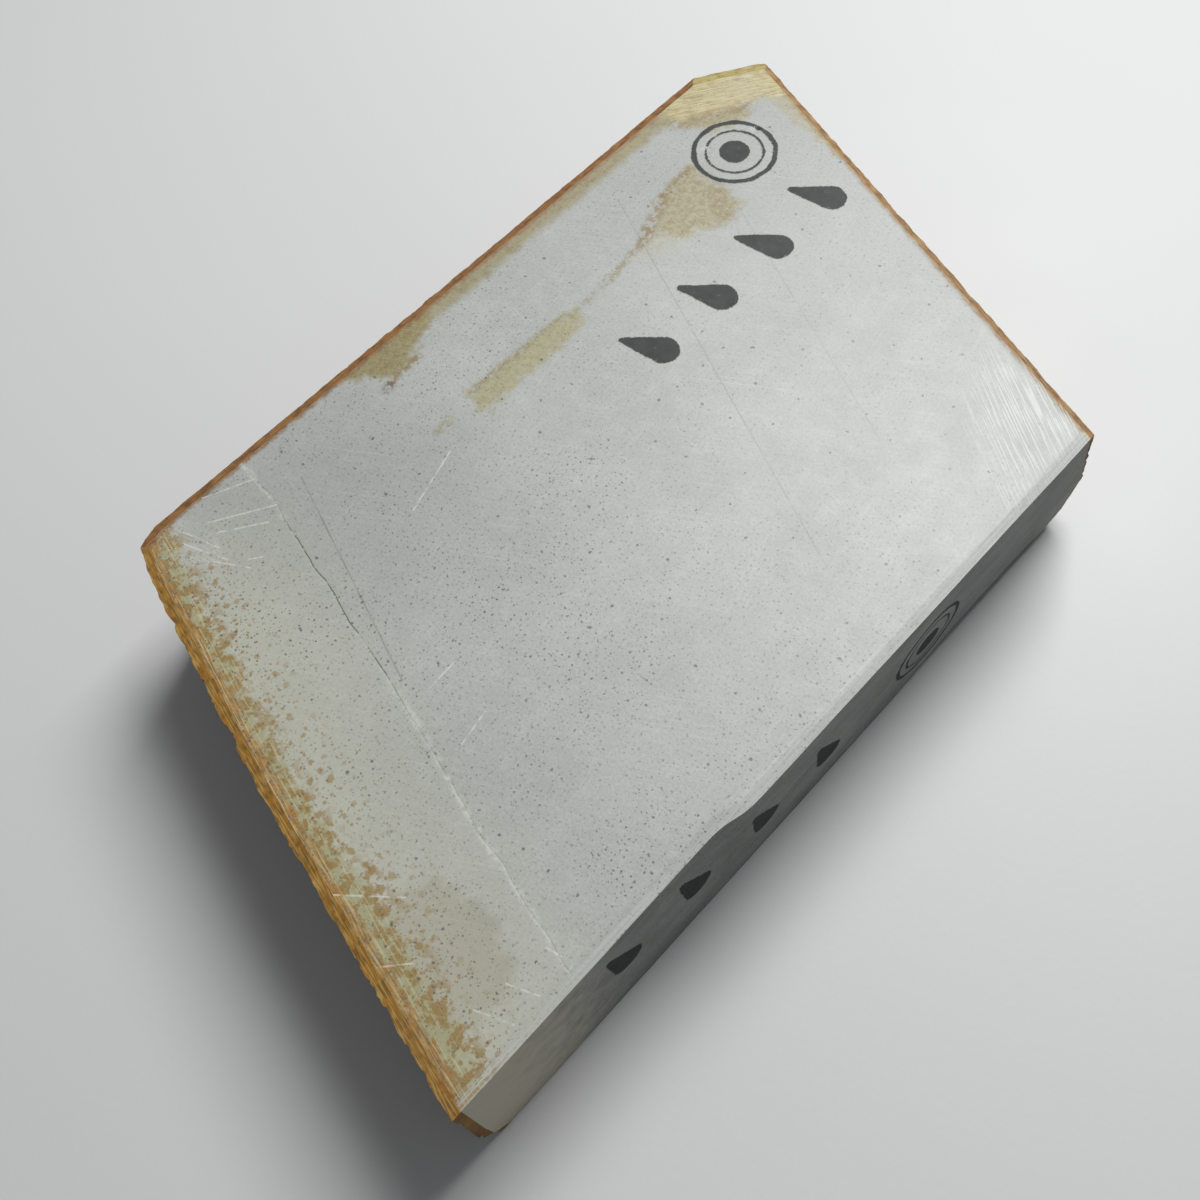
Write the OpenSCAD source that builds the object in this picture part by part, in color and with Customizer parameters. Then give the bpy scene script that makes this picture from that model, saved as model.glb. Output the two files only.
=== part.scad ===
// A natural sharpening stone: a thick slab of blue-grey slate with a ground honing face on top, a sawn
// front, and split ends and back that still carry their brown weathered rind.
// Millimetres. +Z up, the rest face on Z = 0, +X along the slab, -Y at the sawn front.
// The origin is the middle of the stone's box, on the rest face.

/* [Slab] */
// Thickness from the rest face up to the honing face
slab_t = 40.5; // [34:0.5:50]
// Length of the sawn front, measured along the honing face
front_len = 190; // [170:1:215]
// Distance from the middle line of the sawn front back to the split back, at its right end
slab_w = 137.1; // [120:0.1:160]
// How much further forward the front's right corner lies than its left corner
front_skew = 1.3; // [0:0.1:2]
// How much further forward the back lies at its left end than at its right end
back_skew = 1.2; // [0:0.1:3]
// How far the left end leans to the right on its way back
left_lean = 33; // [20:1:45]
// How far the right end leans to the right on its way back
right_lean = 44; // [30:1:52]

/* [Pointed corner] */
// Length of the short break across the back right corner, along X
point_x = 15.5; // [10:0.5:20]
// Length of the same break, along Y
point_y = 12.6; // [8:0.5:18]
// Width of the blunt tip of the pointed corner
tip = 3; // [1:0.5:5]

/* [Split faces] */
// How far the left end swells outwards between its two corners
left_swell = 1.8; // [0.5:0.1:4]
// Size of the small break across the back left corner
left_corner = 9; // [5:0.5:14]
// How far the right end stands out below the honing face, at the front corner
right_flare = 8.5; // [2:0.5:10]
// How far the right end stands out below the honing face, at the pointed corner
point_flare = 2; // [0.5:0.5:4]
// Height above the rest face at which the right end stands out furthest
flare_z = 12.5; // [8:0.5:18]
// How far the right end is broken back under its widest line
right_undercut = 7; // [2:0.5:9]
// Height of the broken foot along the left end and the back
foot_h = 6; // [2:0.5:10]
// How far that foot is broken back at the rest face
foot_in = 3.6; // [1:0.2:5]

/* [Sawn front] */
// How far the left part of the front edge is set back from the right part
step_back = 1.4; // [0.5:0.1:2.5]
// Distance from the left corner to the place where the set-back part ends
step_x = 75; // [50:1:100]
// Length of the slope between the set-back part and the rest of the front
step_run = 5; // [3:0.5:8]
// Height over which the set-back part runs out into the front
step_h = 25; // [15:1:32]
// Width of the narrow ground band along the front edge of the honing face
band_w = 2.4; // [1:0.1:4]
// Drop of that ground band at the front
band_drop = 0.5; // [0.2:0.1:1]

/* [Underside] */
// Distance from the left corner to where the front of the underside starts to rise
rise_x = 97; // [70:1:130]
// Height of the underside above the rest plane at the front right corner
rise_z = 4.5; // [2:0.5:8]
// Distance from the left corner to the middle of the flake scar under the front
scar_x = 161; // [140:1:170]
// Height of the flake scar at the front
scar_z = 7.5; // [4:0.5:9]
// Radius of the shell-shaped flake scar
scar_r = 110; // [90:5:150]

/* [Rind] */
// Thickness of the rind on the back
rind_back_t = 2.2; // [1:0.1:4]
// Thickness of the rind on the left end
rind_left_t = 2.6; // [1:0.1:4]
// Thickness of the rind on the right end
rind_right_t = 1.8; // [1:0.1:3]
// Thickness of the rind on the pointed corner
rind_point_t = 3; // [1:0.1:4]

/* [Ink marks] */
// Depth to which the ink soaks into the stone
ink_t = 0.3; // [0.2:0.05:0.6]
// Outer radius of the plain ring mark
ring_r = 11; // [8:0.5:13]
// Width of the ring's outer line
ring_line = 1.5; // [0.8:0.1:2.5]
// Length of one brush dab
dab_len = 15; // [10:0.5:18]
// Radius of a dab's round head
dab_head = 3.9; // [2:0.1:5]
// Radius of a dab's tail
dab_tail = 0.9; // [0.5:0.1:1.5]
// Distance between neighbouring dabs
dab_pitch = 20.3; // [14:0.1:24]
// Place of the ring on the honing face, along X
ring_top_x = 86.5; // [70:0.5:88]
// Place of the ring on the honing face, along Y
ring_top_y = 44; // [30:0.5:48]
// Place of the first dab on the honing face, along X
dabs_top_x = 27.2; // [0:0.1:30]
// Place of the first dab on the honing face, along Y
dabs_top_y = 19; // [-20:0.5:24]
// Place of the ring on the sawn front, along X
ring_front_x = 19; // [8:0.5:24]
// Height of the middle of the ring on the sawn front
ring_front_z = 19.5; // [18:0.5:22]
// Place of the first dab on the sawn front, along X
dabs_front_x = -76.5; // [-90:0.5:-74]
// Height of the middle of the first dab on the sawn front
dabs_front_z = 26.5; // [24:0.5:28]

/* [Hidden] */
$fn = 96;

DAB_COUNT = 4;
DAB_SLANT = 24;      // degrees between a dab and the line across the row
FRONT_ROW_TILT = -6; // degrees by which the row of dabs on the front runs down to the right
INNER_RING = 0.7;    // radius of the inner ring of a ring mark, as a share of the outer ring's
INNER_LINE = 0.6;    // width of its line, as a share of the outer ring's
SPOT = 0.36;         // radius of the spot in a ring mark, as a share of the outer ring's
CORNER_ALONG = 0.6;  // reach of the back left break along the back, as a share of left_corner
CORNER_DROP = 0.2;   // distance that it falls towards the front on the way, as a share of left_corner
CORNER_LEAN = 0.4;   // reach of its second half to the left, as a share of left_corner
RISE_TURN = 34;      // degrees between the front and the line where the underside starts to rise
SCAR_FORWARD = 10;   // distance of the flake scar's middle in front of the sawn front
REACH = 400;         // longer than any side of the stone
SECTOR = 1.4;        // reach of a sector past the corners of the outline, as a factor
OVER = 2;            // how far a cutting shape runs past the face it cuts

// Corners of the stone seen from above, counter-clockwise, from the front left corner of the slab.
// The right end is drawn where it stands out furthest.
POINT_BACK = slab_w - point_y;
LEFT_BACK = slab_w - back_skew;
LEFT_BREAK = LEFT_BACK - left_corner * CORNER_DROP;
PLAN = [
    [0, -step_back],
    [front_len + right_flare, -step_back - front_skew],
    [front_len + right_lean + point_flare, POINT_BACK],
    [front_len + right_lean + point_flare - tip, POINT_BACK + tip],
    [front_len + right_lean - point_x, slab_w],
    [left_lean + left_corner * CORNER_ALONG, LEFT_BACK],
    [left_lean, LEFT_BREAK],
    [left_lean - left_corner * CORNER_LEAN, LEFT_BREAK - left_corner],
    [left_lean / 2 - left_swell, slab_w / 2]
];
PLAN_X = [for (p = PLAN) p.x];
PLAN_Y = [for (p = PLAN) p.y];
CENTRE = [max(PLAN_X) + min(PLAN_X), max(PLAN_Y) + min(PLAN_Y)] / 2;
OUTLINE = [for (p = PLAN) p - CENTRE];

// First corner of each face in OUTLINE. The faces that follow one another share a rind.
FRONT = 0;
RIGHT = 1;
POINT = 2;
BACK = 4;
LEFT = 6;
LAST = len(OUTLINE) - 1;

// Rind thickness on the face that starts at each corner of OUTLINE
RIND = [
    0, rind_right_t, rind_point_t, rind_point_t, rind_back_t, rind_back_t,
    rind_left_t, rind_left_t, rind_left_t
];

// The honing face's own right edge, which lies inside OUTLINE because the right end flares
TOP_RIGHT = [
    [front_len, -step_back - front_skew] - CENTRE,
    [front_len + right_lean, POINT_BACK] - CENTRE
];

function corner(i) = OUTLINE[(i + len(OUTLINE)) % len(OUTLINE)];
function inward(p, q) = [p.y - q.y, q.x - p.x] / norm(q - p);
function crossing(p, along_p, q, along_q) = p + along_p * cross(q - p, along_q) / cross(along_p, along_q);

// Corner i of the outline once the faces on both sides of it have moved inwards by their own depth
function moved_corner(i, depth_before, depth_after) =
    crossing(
        corner(i) + inward(corner(i - 1), corner(i)) * depth_before, corner(i) - corner(i - 1),
        corner(i) + inward(corner(i), corner(i + 1)) * depth_after, corner(i + 1) - corner(i)
    );
function inset_outline(depths) =
    [for (i = [0:LAST]) moved_corner(i, depths[(i + LAST) % len(depths)], depths[i])];

// Everything outside the plane through the line p to q at height z. The stone is on the line's left.
// The plane moves inwards by depth, and leans outwards on its way up by lean degrees.
module outside(p, q, z, lean, depth = 0) {
    translate([p.x, p.y, z])
        rotate([0, 0, atan2(q.y - p.y, q.x - p.x)])
            translate([0, depth, 0])
                rotate([lean, 0, 0])
                    translate([-REACH, -REACH, -REACH])
                        cube([3 * REACH, REACH, 2 * REACH]);
}

// The slab with its split faces moved inwards by the depths given. It runs past both of its flat
// faces by over, and past its sawn front as well.
module split_slab(depths, over = 0) {
    difference() {
        translate([0, 0, -over])
            linear_extrude(slab_t + 2 * over)
                polygon(inset_outline([for (i = [0:LAST]) i == FRONT ? -over : depths[i]]));
        outside(TOP_RIGHT[0], TOP_RIGHT[1], slab_t, -atan2(right_flare, slab_t - flare_z), depths[RIGHT]);
        outside(corner(RIGHT), corner(POINT), flare_z, atan2(right_undercut, flare_z), depths[RIGHT]);
        for (i = [BACK:LAST])
            outside(corner(i), corner(i + 1), foot_h, atan2(foot_in, foot_h), depths[i]);
    }
}

// What has been sawn, ground or knocked off the split slab
module worked_away() {
    front_left = corner(FRONT);
    front_right = corner(RIGHT);
    left_edge = front_left + [0, step_back];
    slope_end = front_left + [step_x, 0];
    slope_start = slope_end + [-step_run, step_back];
    // The set-back part of the front, which runs out downwards and along the slope at its right end
    intersection() {
        outside(left_edge, left_edge + [1, 0], slab_t, -atan2(step_back, step_h));
        outside(slope_start, slope_end, slab_t, 0);
    }
    // The ground band along the front edge, which follows the set-back part and its slope
    band_lean = atan2(band_w, band_drop);
    band_z = slab_t - band_drop;
    intersection() {
        outside(left_edge, left_edge + [1, 0], band_z, -band_lean);
        outside(slope_start, slope_end, band_z, -band_lean);
    }
    outside(front_left, front_right, band_z, -band_lean);
    // The underside rises towards the front right corner
    rise_start = [front_left.x + rise_x, front_left.y, 0];
    rise_length = front_len - rise_x;
    translate(rise_start)
        rotate([0, 0, RISE_TURN])
            rotate([atan2(-rise_z, rise_length * sin(RISE_TURN)), 0, 0])
                translate([-REACH, -REACH, -REACH])
                    cube([3 * REACH, REACH, REACH]);
    // The shell-shaped scar of a flake that came off under the front
    translate([front_left.x + scar_x, front_left.y - SCAR_FORWARD, scar_z - scar_r])
        sphere(scar_r);
}

module whole_stone() {
    difference() {
        split_slab([for (i = [0:LAST]) 0]);
        worked_away();
    }
}

// A wedge standing on the middle of the slab that takes in the faces from corner a to corner b.
// A wedge that ends at the sawn front takes in the front as far as its middle.
module sector(a, b) {
    front_middle = [0, -REACH];
    before = a == RIGHT ? [front_middle] : [];
    after = b == LAST + 1 ? [front_middle] : [];
    translate([0, 0, -OVER])
        linear_extrude(slab_t + 2 * OVER)
            polygon(concat([[0, 0]], before, [for (i = [a:b]) corner(i) * SECTOR], after));
}

module rind(a, b) {
    difference() {
        intersection() {
            whole_stone();
            sector(a, b);
        }
        split_slab(RIND, OVER);
    }
}

module rind_back() {
    color("peru") rind(BACK, LEFT);
}

module rind_left_end() {
    color("darkgoldenrod") rind(LEFT, LAST + 1);
}

module rind_right_end() {
    color("rosybrown") rind(RIGHT, POINT);
}

module rind_pointed_corner() {
    color("burlywood") rind(POINT, BACK);
}

// A brush dab: a round head that narrows to a thin tail
module dab() {
    narrowing = asin((dab_head - dab_tail) / (dab_len - dab_head - dab_tail));
    tail_y = dab_len - dab_head - dab_tail;
    side = [cos(narrowing), sin(narrowing)];
    rotate(DAB_SLANT)
        translate([0, dab_head - dab_len / 2])
            union() {
                circle(dab_head);
                translate([0, tail_y])
                    circle(dab_tail);
                polygon([
                    [side.x, side.y] * dab_head,
                    [0, tail_y] + [side.x, side.y] * dab_tail,
                    [0, tail_y] + [-side.x, side.y] * dab_tail,
                    [-side.x, side.y] * dab_head
                ]);
            }
}

// A row of dabs that starts at the place of the first one
module dab_row(tilt) {
    for (i = [0:DAB_COUNT - 1])
        rotate(tilt)
            translate([i * dab_pitch, 0])
                rotate(-tilt)
                    dab();
}

// A plain ring with a finer ring and a round spot inside it
module ring_mark() {
    difference() {
        circle(ring_r);
        circle(ring_r - ring_line);
    }
    difference() {
        circle(ring_r * INNER_RING);
        circle(ring_r * INNER_RING - ring_line * INNER_LINE);
    }
    circle(ring_r * SPOT);
}

// The stone moved away from one of its own faces, which leaves a skin of ink_t on that face
module below_skin(move) {
    translate(move * ink_t)
        whole_stone();
}

// The space of the marks on the honing face, down to the depth of the ink
module top_pocket() {
    difference() {
        translate([0, 0, slab_t - OVER])
            linear_extrude(2 * OVER)
                children();
        below_skin([0, 0, -1]);
    }
}

// The space of the marks on the sawn front, in to the depth of the ink
module front_pocket() {
    difference() {
        translate([0, corner(FRONT).y + OVER * 2, 0])
            rotate([90, 0, 0])
                linear_extrude(4 * OVER)
                    children();
        below_skin([0, 1, 0]);
    }
}

module top_ring() {
    top_pocket() translate([ring_top_x, ring_top_y]) ring_mark();
}

module top_dabs() {
    top_pocket() translate([dabs_top_x, dabs_top_y]) dab_row(0);
}

module front_ring() {
    front_pocket() translate([ring_front_x, ring_front_z]) ring_mark();
}

module front_dabs() {
    front_pocket() translate([dabs_front_x, dabs_front_z]) dab_row(FRONT_ROW_TILT);
}

module ink() {
    color("dimgray")
        intersection() {
            whole_stone();
            children();
        }
}

module ink_ring_top() {
    ink() top_ring();
}

module ink_dabs_top() {
    ink() top_dabs();
}

module ink_ring_front() {
    ink() front_ring();
}

module ink_dabs_front() {
    ink() front_dabs();
}

module stone_block() {
    color("lightslategray")
        difference() {
            split_slab(RIND);
            worked_away();
            top_ring();
            top_dabs();
            front_ring();
            front_dabs();
        }
}

stone_block();
rind_back();
rind_left_end();
rind_right_end();
rind_pointed_corner();
ink_ring_top();
ink_dabs_top();
ink_ring_front();
ink_dabs_front();
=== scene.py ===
"""Looks of a natural sharpening stone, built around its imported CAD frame.

Lengths are in metres, and in millimetres inside the materials. Rays read every wall from the CAD nodes, and the
split, sawn and ground surfaces get their own relief on top of that. Places on the honing face are shares of the
stone's box: u along X and v along Y.
"""

import math

import bmesh
import bpy
import numpy as np
from mathutils import Matrix, Vector, noise
from mathutils.bvhtree import BVHTree
from mathutils.geometry import convex_hull_2d, delaunay_2d_cdt
from mathutils.kdtree import KDTree


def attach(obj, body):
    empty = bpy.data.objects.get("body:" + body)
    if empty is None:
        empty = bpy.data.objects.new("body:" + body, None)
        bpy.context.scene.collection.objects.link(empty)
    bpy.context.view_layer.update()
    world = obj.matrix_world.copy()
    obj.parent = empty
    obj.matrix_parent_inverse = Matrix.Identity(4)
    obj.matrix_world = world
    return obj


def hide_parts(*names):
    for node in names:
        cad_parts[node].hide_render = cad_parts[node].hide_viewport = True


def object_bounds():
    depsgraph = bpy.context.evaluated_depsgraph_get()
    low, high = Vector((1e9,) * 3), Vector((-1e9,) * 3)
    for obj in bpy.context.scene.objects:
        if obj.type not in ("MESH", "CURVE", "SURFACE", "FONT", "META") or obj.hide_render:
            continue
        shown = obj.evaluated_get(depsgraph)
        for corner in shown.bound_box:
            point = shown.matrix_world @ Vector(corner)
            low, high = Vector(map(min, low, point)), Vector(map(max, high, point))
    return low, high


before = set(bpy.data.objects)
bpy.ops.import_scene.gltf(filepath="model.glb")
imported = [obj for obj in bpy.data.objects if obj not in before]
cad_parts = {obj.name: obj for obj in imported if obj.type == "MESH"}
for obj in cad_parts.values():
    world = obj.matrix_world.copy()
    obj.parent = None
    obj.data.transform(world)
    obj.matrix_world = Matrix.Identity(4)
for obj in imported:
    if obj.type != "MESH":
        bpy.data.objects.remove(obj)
CAD_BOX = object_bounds()

MM = 0.001
LOW = np.array(CAD_BOX[0])
SIZE = np.array(CAD_BOX[1]) - LOW
TOP = CAD_BOX[1].z
FAR = 0.5             # a ray starts this far outside the wall it looks for
HAIR = 0.01 * MM      # keeps a ray off the very edge of a wall

# Spacing of the meshes' points
WALL_STEP = 0.75 * MM
TOP_STEP = 1.15 * MM
UNDER_STEP = 1.4 * MM
INK_STEP = 0.4 * MM
ROWS = 54             # steps up a wall
COARSE = 6            # a hidden wall has one step for this many

# The narrow ground band along the front edge of the honing face
BAND_WIDTH = 2.4 * MM
BAND_DROP = 0.5 * MM

RINDS = {
    "rind_right_end": (1, 2),
    "rind_pointed_corner": (2, 4),
    "rind_back": (4, 6),
    "rind_left_end": (6, 9),
}
CORNERS = 9           # of the outline, of which 0 and 1 are the ends of the sawn front
FRONT_LEFT, FRONT_RIGHT = 0, 1


def place(u, v):
    """A point on the honing face from its shares of the stone's box."""
    return np.array([LOW[0] + u * SIZE[0], LOW[1] + v * SIZE[1]])


def smooth(value, low, high):
    """0 at low and 1 at high, with a smooth rise between them."""
    share = np.clip((value - low) / (high - low), 0, 1)
    return share * share * (3 - 2 * share)


# ---------------------------------------------------------------- reading the CAD frame


def cad_tree(names):
    """One ray-casting tree over the meshes of several CAD nodes."""
    points = []
    faces = []
    for name in names:
        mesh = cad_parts[name].data
        first = len(points)
        points += [v.co.copy() for v in mesh.vertices]
        faces += [[first + i for i in p.vertices] for p in mesh.polygons]
    return BVHTree.FromPolygons(points, faces)


WHOLE = cad_tree(sorted(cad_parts))
CORE = cad_tree(["stone_block"])


def outline(height):
    """Corners of the stone's section at a height, counter-clockwise from the front left corner."""
    crossings = []
    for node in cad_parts.values():
        points = node.data.vertices
        for edge in node.data.edges:
            a, b = (points[i].co for i in edge.vertices)
            if (a.z - height) * (b.z - height) < 0:
                crossings.append(a.lerp(b, (height - a.z) / (b.z - a.z)).xy)
    hull = [crossings[i] for i in convex_hull_2d(crossings)]
    apart = [p for i, p in enumerate(hull) if (p - hull[i - 1]).length > MM]
    turning = []
    for i, point in enumerate(apart):
        before = point - apart[i - 1]
        after = apart[(i + 1) % len(apart)] - point
        if abs(before.angle_signed(after)) > math.radians(1.5):
            turning.append(point)
    ring = np.array(turning)
    following = np.roll(ring, -1, axis=0)
    if np.sum(ring[:, 0] * following[:, 1] - following[:, 0] * ring[:, 1]) < 0:
        ring = ring[::-1]
    return np.roll(ring, -int(np.argmin(ring[:, 0])), axis=0)


RING = outline(TOP - MM)
assert len(RING) == CORNERS, f"the outline has {len(RING)} corners"


def inward(corner):
    """The level direction in which the rays run at a corner of the outline."""
    if corner % CORNERS == FRONT_LEFT:
        return np.array([1.0, 0.0])
    if corner == FRONT_RIGHT:
        return np.array([-1.0, 0.0])
    return -RING[corner] / np.linalg.norm(RING[corner])


def front_y(x, z):
    """Where the sawn front is at a place along X and a height."""
    found = WHOLE.ray_cast(Vector((x, -FAR, z)), Vector((0, 1, 0)))[0]
    return found.y if found else FAR


def top_z(x, y):
    """Height of the stone's top, which drops along the front band."""
    found = WHOLE.ray_cast(Vector((x, y, FAR)), Vector((0, 0, -1)))[0]
    return found.z if found else TOP


def under_z(x, y):
    """Height of the underside above the rest plane."""
    found = WHOLE.ray_cast(Vector((x, y, -FAR)), Vector((0, 0, 1)))[0]
    return found.z if found else 0.0


def lowest(hit_at):
    """The lowest height at which a wall is still there: below it, a ray misses or lands much further in."""
    step = 0.15 * MM
    z = 14 * MM
    last = hit_at(z)
    while z > step:
        here = hit_at(z - step)
        if here is None or (here - last).length > 3 * step:
            return z
        last = here
        z -= step
    return 0.0


class Columns:
    """Upright rows of points on the split faces, from the front right corner round the back to the front left."""

    PULL = 12 * MM    # columns this near the sawn front follow its slope
    INSET = 4 * MM    # where the sawn front's slope is read, next to its corner

    def __init__(self):
        starts = []
        inwards = []
        self.first = {}
        for i in range(FRONT_RIGHT, CORNERS):
            a, b = RING[i], RING[(i + 1) % CORNERS]
            count = round(np.linalg.norm(b - a) / WALL_STEP)
            self.first[i] = len(starts)
            for share in np.arange(count) / count:
                starts.append(a + (b - a) * share)
                inwards.append(inward(i) * (1 - share) + inward(i + 1) * share)
        self.first[CORNERS] = len(starts)
        starts.append(RING[FRONT_LEFT])
        inwards.append(inward(FRONT_LEFT))
        self.start = np.array(starts)
        self.inward = np.array(inwards)
        self.inward /= np.linalg.norm(self.inward, axis=1)[:, None]
        self.count = len(starts)
        steps = np.linalg.norm(np.diff(self.start, axis=0), axis=1)
        self.along = np.concatenate([[0], np.cumsum(steps)])
        self.outer = np.zeros((self.count, ROWS + 1, 3))
        self.inner = np.zeros((self.count, ROWS + 1, 3))
        for c in range(self.count):
            self.cast(c)

    def ray(self, tree, c, z):
        """Where the level ray of column c meets the tree at height z."""
        x, y = self.start[c]
        for corner, distance in ((FRONT_RIGHT, self.along[c]), (FRONT_LEFT, self.along[-1] - self.along[c])):
            if distance < self.PULL:
                edge = RING[corner]
                beside = edge[0] + math.copysign(self.INSET, inward(corner)[0])
                slope = np.clip(front_y(beside, z) - edge[1], -2 * MM, 2 * MM)
                y += HAIR + slope * (1 - distance / self.PULL)
        dx, dy = self.inward[c]
        return tree.ray_cast(Vector((x - dx * FAR, y - dy * FAR, z)), Vector((dx, dy, 0)))[0]

    def cast(self, c):
        """Fills in the points of column c on the outer skin and on the block behind it."""
        x, y = self.start[c] + self.inward[c] * 0.3 * MM
        into_band = (y - front_y(x, TOP - MM)) / BAND_WIDTH
        top = TOP - BAND_DROP * np.clip(1 - into_band, 0, 1)
        foot = lowest(lambda z: self.ray(WHOLE, c, z))
        for k in range(ROWS + 1):
            z = foot + (top - foot) * k / ROWS
            level = np.clip(z, foot + HAIR, top - 2 * HAIR)
            outer = self.ray(WHOLE, c, level)
            inner = self.ray(CORE, c, level)
            self.outer[c, k] = (outer.x, outer.y, z)
            self.inner[c, k] = (inner.x, inner.y, z)


# ---------------------------------------------------------------- relief of the surfaces


def split_relief(columns):
    """Wears the outer skin of the split faces inwards into teeth, ledges, scallops and grain, least at the rim."""
    left = columns.first[RINDS["rind_left_end"][0]]
    back = columns.first[RINDS["rind_back"][0]]
    index = np.arange(columns.count)
    toothed = 0.45 + 0.55 * smooth(index, left - 12, left + 12) - 0.1 * smooth(index, back - 12, back + 12)
    layered = 1.0 - 0.45 * smooth(index, back - 12, back + 12)
    for c in range(columns.count):
        s = columns.along[c] / MM
        tooth = 0.9 * abs(noise.noise(Vector((s / 2.0, 3.1, 0)))) + 1.2 * abs(noise.noise(Vector((s / 6.5, 8.7, 0))))
        for k in range(ROWS + 1):
            x, y, z = columns.outer[c, k] / MM
            layer = z / 4.6 + 0.9 * noise.noise(Vector((x / 31, y / 31, 1.7)))
            inside_layer = layer - math.floor(layer)
            thrown = 0.5 + 0.5 * noise.noise(Vector((s / 8.5, math.floor(layer) * 3.7, 5.2)))
            ledge = (0.25 + 0.75 * thrown) * smooth(inside_layer, 0.15, 1.0)
            scoop = abs(noise.noise(Vector((x / 12, y / 12, z / 9))))
            grain = noise.fractal(Vector((x / 3.2, y / 3.2, z / 2.2)), 0.8, 2.1, 3)
            under_rim = smooth(z, 39, 32)
            depth = 0.12 + 0.9 * toothed[c] * tooth + 0.1 * grain
            depth += under_rim * (0.8 * layered[c] * ledge + 0.9 * scoop + 0.14 * grain)
            columns.outer[c, k, :2] += columns.inward[c] * max(depth, -0.1) * MM
        fall = 0.4 + 0.35 * toothed[c] * noise.noise(Vector((s / 2.1, 4.4, 0)))
        for k in range(ROWS + 1 - 3, ROWS + 1):
            columns.outer[c, k, 2] -= fall * MM * (k - ROWS + 3) / 3


VEIN = [(0.263, 0.985), (0.255, 0.872), (0.242, 0.786), (0.216, 0.586), (0.195, 0.428), (0.169, 0.278), (0.138, 0.035)]
VEIN_HALF = 0.34 * MM  # half the vein's width
VEIN_DEPTH = 0.035 * MM


def vein_lines():
    """The healed crack's middle line and its two sides, which jog like a brittle crack."""
    knots = np.array([place(u, v) for u, v in VEIN])
    lengths = np.concatenate([[0], np.cumsum(np.linalg.norm(np.diff(knots, axis=0), axis=1))])
    stops = np.arange(0, lengths[-1], 0.8 * MM)
    middle = np.stack([np.interp(stops, lengths, knots[:, i]) for i in (0, 1)], axis=1)
    for i, stop in enumerate(stops / MM):
        jog = 0.8 * noise.noise(Vector((stop / 9, 2.2, 0))) + 0.22 * noise.noise(Vector((stop / 2.1, 6.1, 0)))
        middle[i, 0] += jog * MM
    aside = np.array([VEIN_HALF, 0])
    return middle, middle - aside, middle + aside


def honed(x, y):
    """Height of the ground honing face: flat but for a trace of unevenness."""
    wave = 0.5 + 0.5 * noise.noise(Vector((x / MM / 23, y / MM / 23, 0.3)))
    return top_z(x, y) - 0.03 * MM * wave


def cleft(x, y, edge_distance):
    """Height of the underside, whose layers came away in low terraces."""
    sheet = 2.6 * (0.5 + 0.5 * noise.noise(Vector((x / MM / 42, y / MM / 30, 7.7))))
    sheet += 0.5 * noise.noise(Vector((x / MM / 9, y / MM / 9, 2.1)))
    level = math.floor(sheet)
    terrace = level + smooth(sheet - level, 0.82, 1.0)
    grain = 0.12 + 0.12 * noise.fractal(Vector((x / MM / 5, y / MM / 5, 0)), 0.8, 2.1, 3)
    fade = smooth(edge_distance, 0, 5 * MM)
    return under_z(x, y) + max(0, 0.45 * terrace + grain) * MM * fade


# ---------------------------------------------------------------- mesh building


class Shell:
    """A closed mesh under construction."""

    def __init__(self):
        self.points = []
        self.faces = []

    def add(self, points):
        """Adds points and gives their numbers."""
        first = len(self.points)
        self.points += [tuple(p) for p in points]
        return list(range(first, len(self.points)))

    def strip(self, a, b):
        """Quads between two rows of points."""
        for i in range(len(a) - 1):
            self.faces.append((a[i], a[i + 1], b[i + 1], b[i]))

    def ladder(self, fine, coarse):
        """Faces between a fine column of points and a coarse one."""
        ratio = (len(fine) - 1) // (len(coarse) - 1)
        for i in range(len(coarse) - 1):
            self.faces.append((*fine[i * ratio:(i + 1) * ratio + 1], coarse[i + 1], coarse[i]))

    def cap(self, loop, spacing, lines, height, seed):
        """Fills a level loop with a fine triangle mesh that holds the lines. Gives the numbers of the lines' points."""
        rim = np.array([self.points[i][:2] for i in loop])
        inside = scatter(rim, spacing, seed)
        every = [rim, inside] + lines
        flat = np.concatenate(every) / MM
        edges = [(i, (i + 1) % len(loop)) for i in range(len(loop))]
        first = len(rim) + len(inside)
        for line in lines:
            edges += [(first + i, first + i + 1) for i in range(len(line) - 1)]
            first += len(line)
        points, _, faces, origins, _, _ = delaunay_2d_cdt([Vector(p) for p in flat], edges, [], 1, 1e-5)
        near = rim_tree(rim)
        numbers = []
        for point, origin in zip(points, origins):
            on_rim = [i for i in origin if i < len(loop)]
            if on_rim:
                numbers.append(loop[on_rim[0]])
            else:
                x, y = point * MM
                distance = near.find((x, y, 0))[2]
                numbers += self.add([(x, y, height(x, y, distance))])
        self.faces += [tuple(numbers[i] for i in face) for face in faces]

    def build(self, name, node, sharp_degrees):
        """Turns the shell into a piece that stands for a CAD node."""
        mesh = bpy.data.meshes.new(name)
        mesh.from_pydata(self.points, [], self.faces)
        work = bmesh.new()
        work.from_mesh(mesh)
        bmesh.ops.recalc_face_normals(work, faces=work.faces)
        bmesh.ops.triangulate(work, faces=[f for f in work.faces if len(f.verts) > 4])
        work.to_mesh(mesh)
        work.free()
        mesh.shade_smooth()
        mesh.set_sharp_from_angle(angle=math.radians(sharp_degrees))
        piece = bpy.data.objects.new(name, mesh)
        bpy.context.scene.collection.objects.link(piece)
        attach(piece, "root")
        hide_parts(node)
        return piece


def rim_tree(rim):
    """A tree that finds the nearest point of a rim."""
    tree = KDTree(len(rim))
    for i, (x, y) in enumerate(rim):
        tree.insert((x, y, 0), i)
    tree.balance()
    return tree


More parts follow.
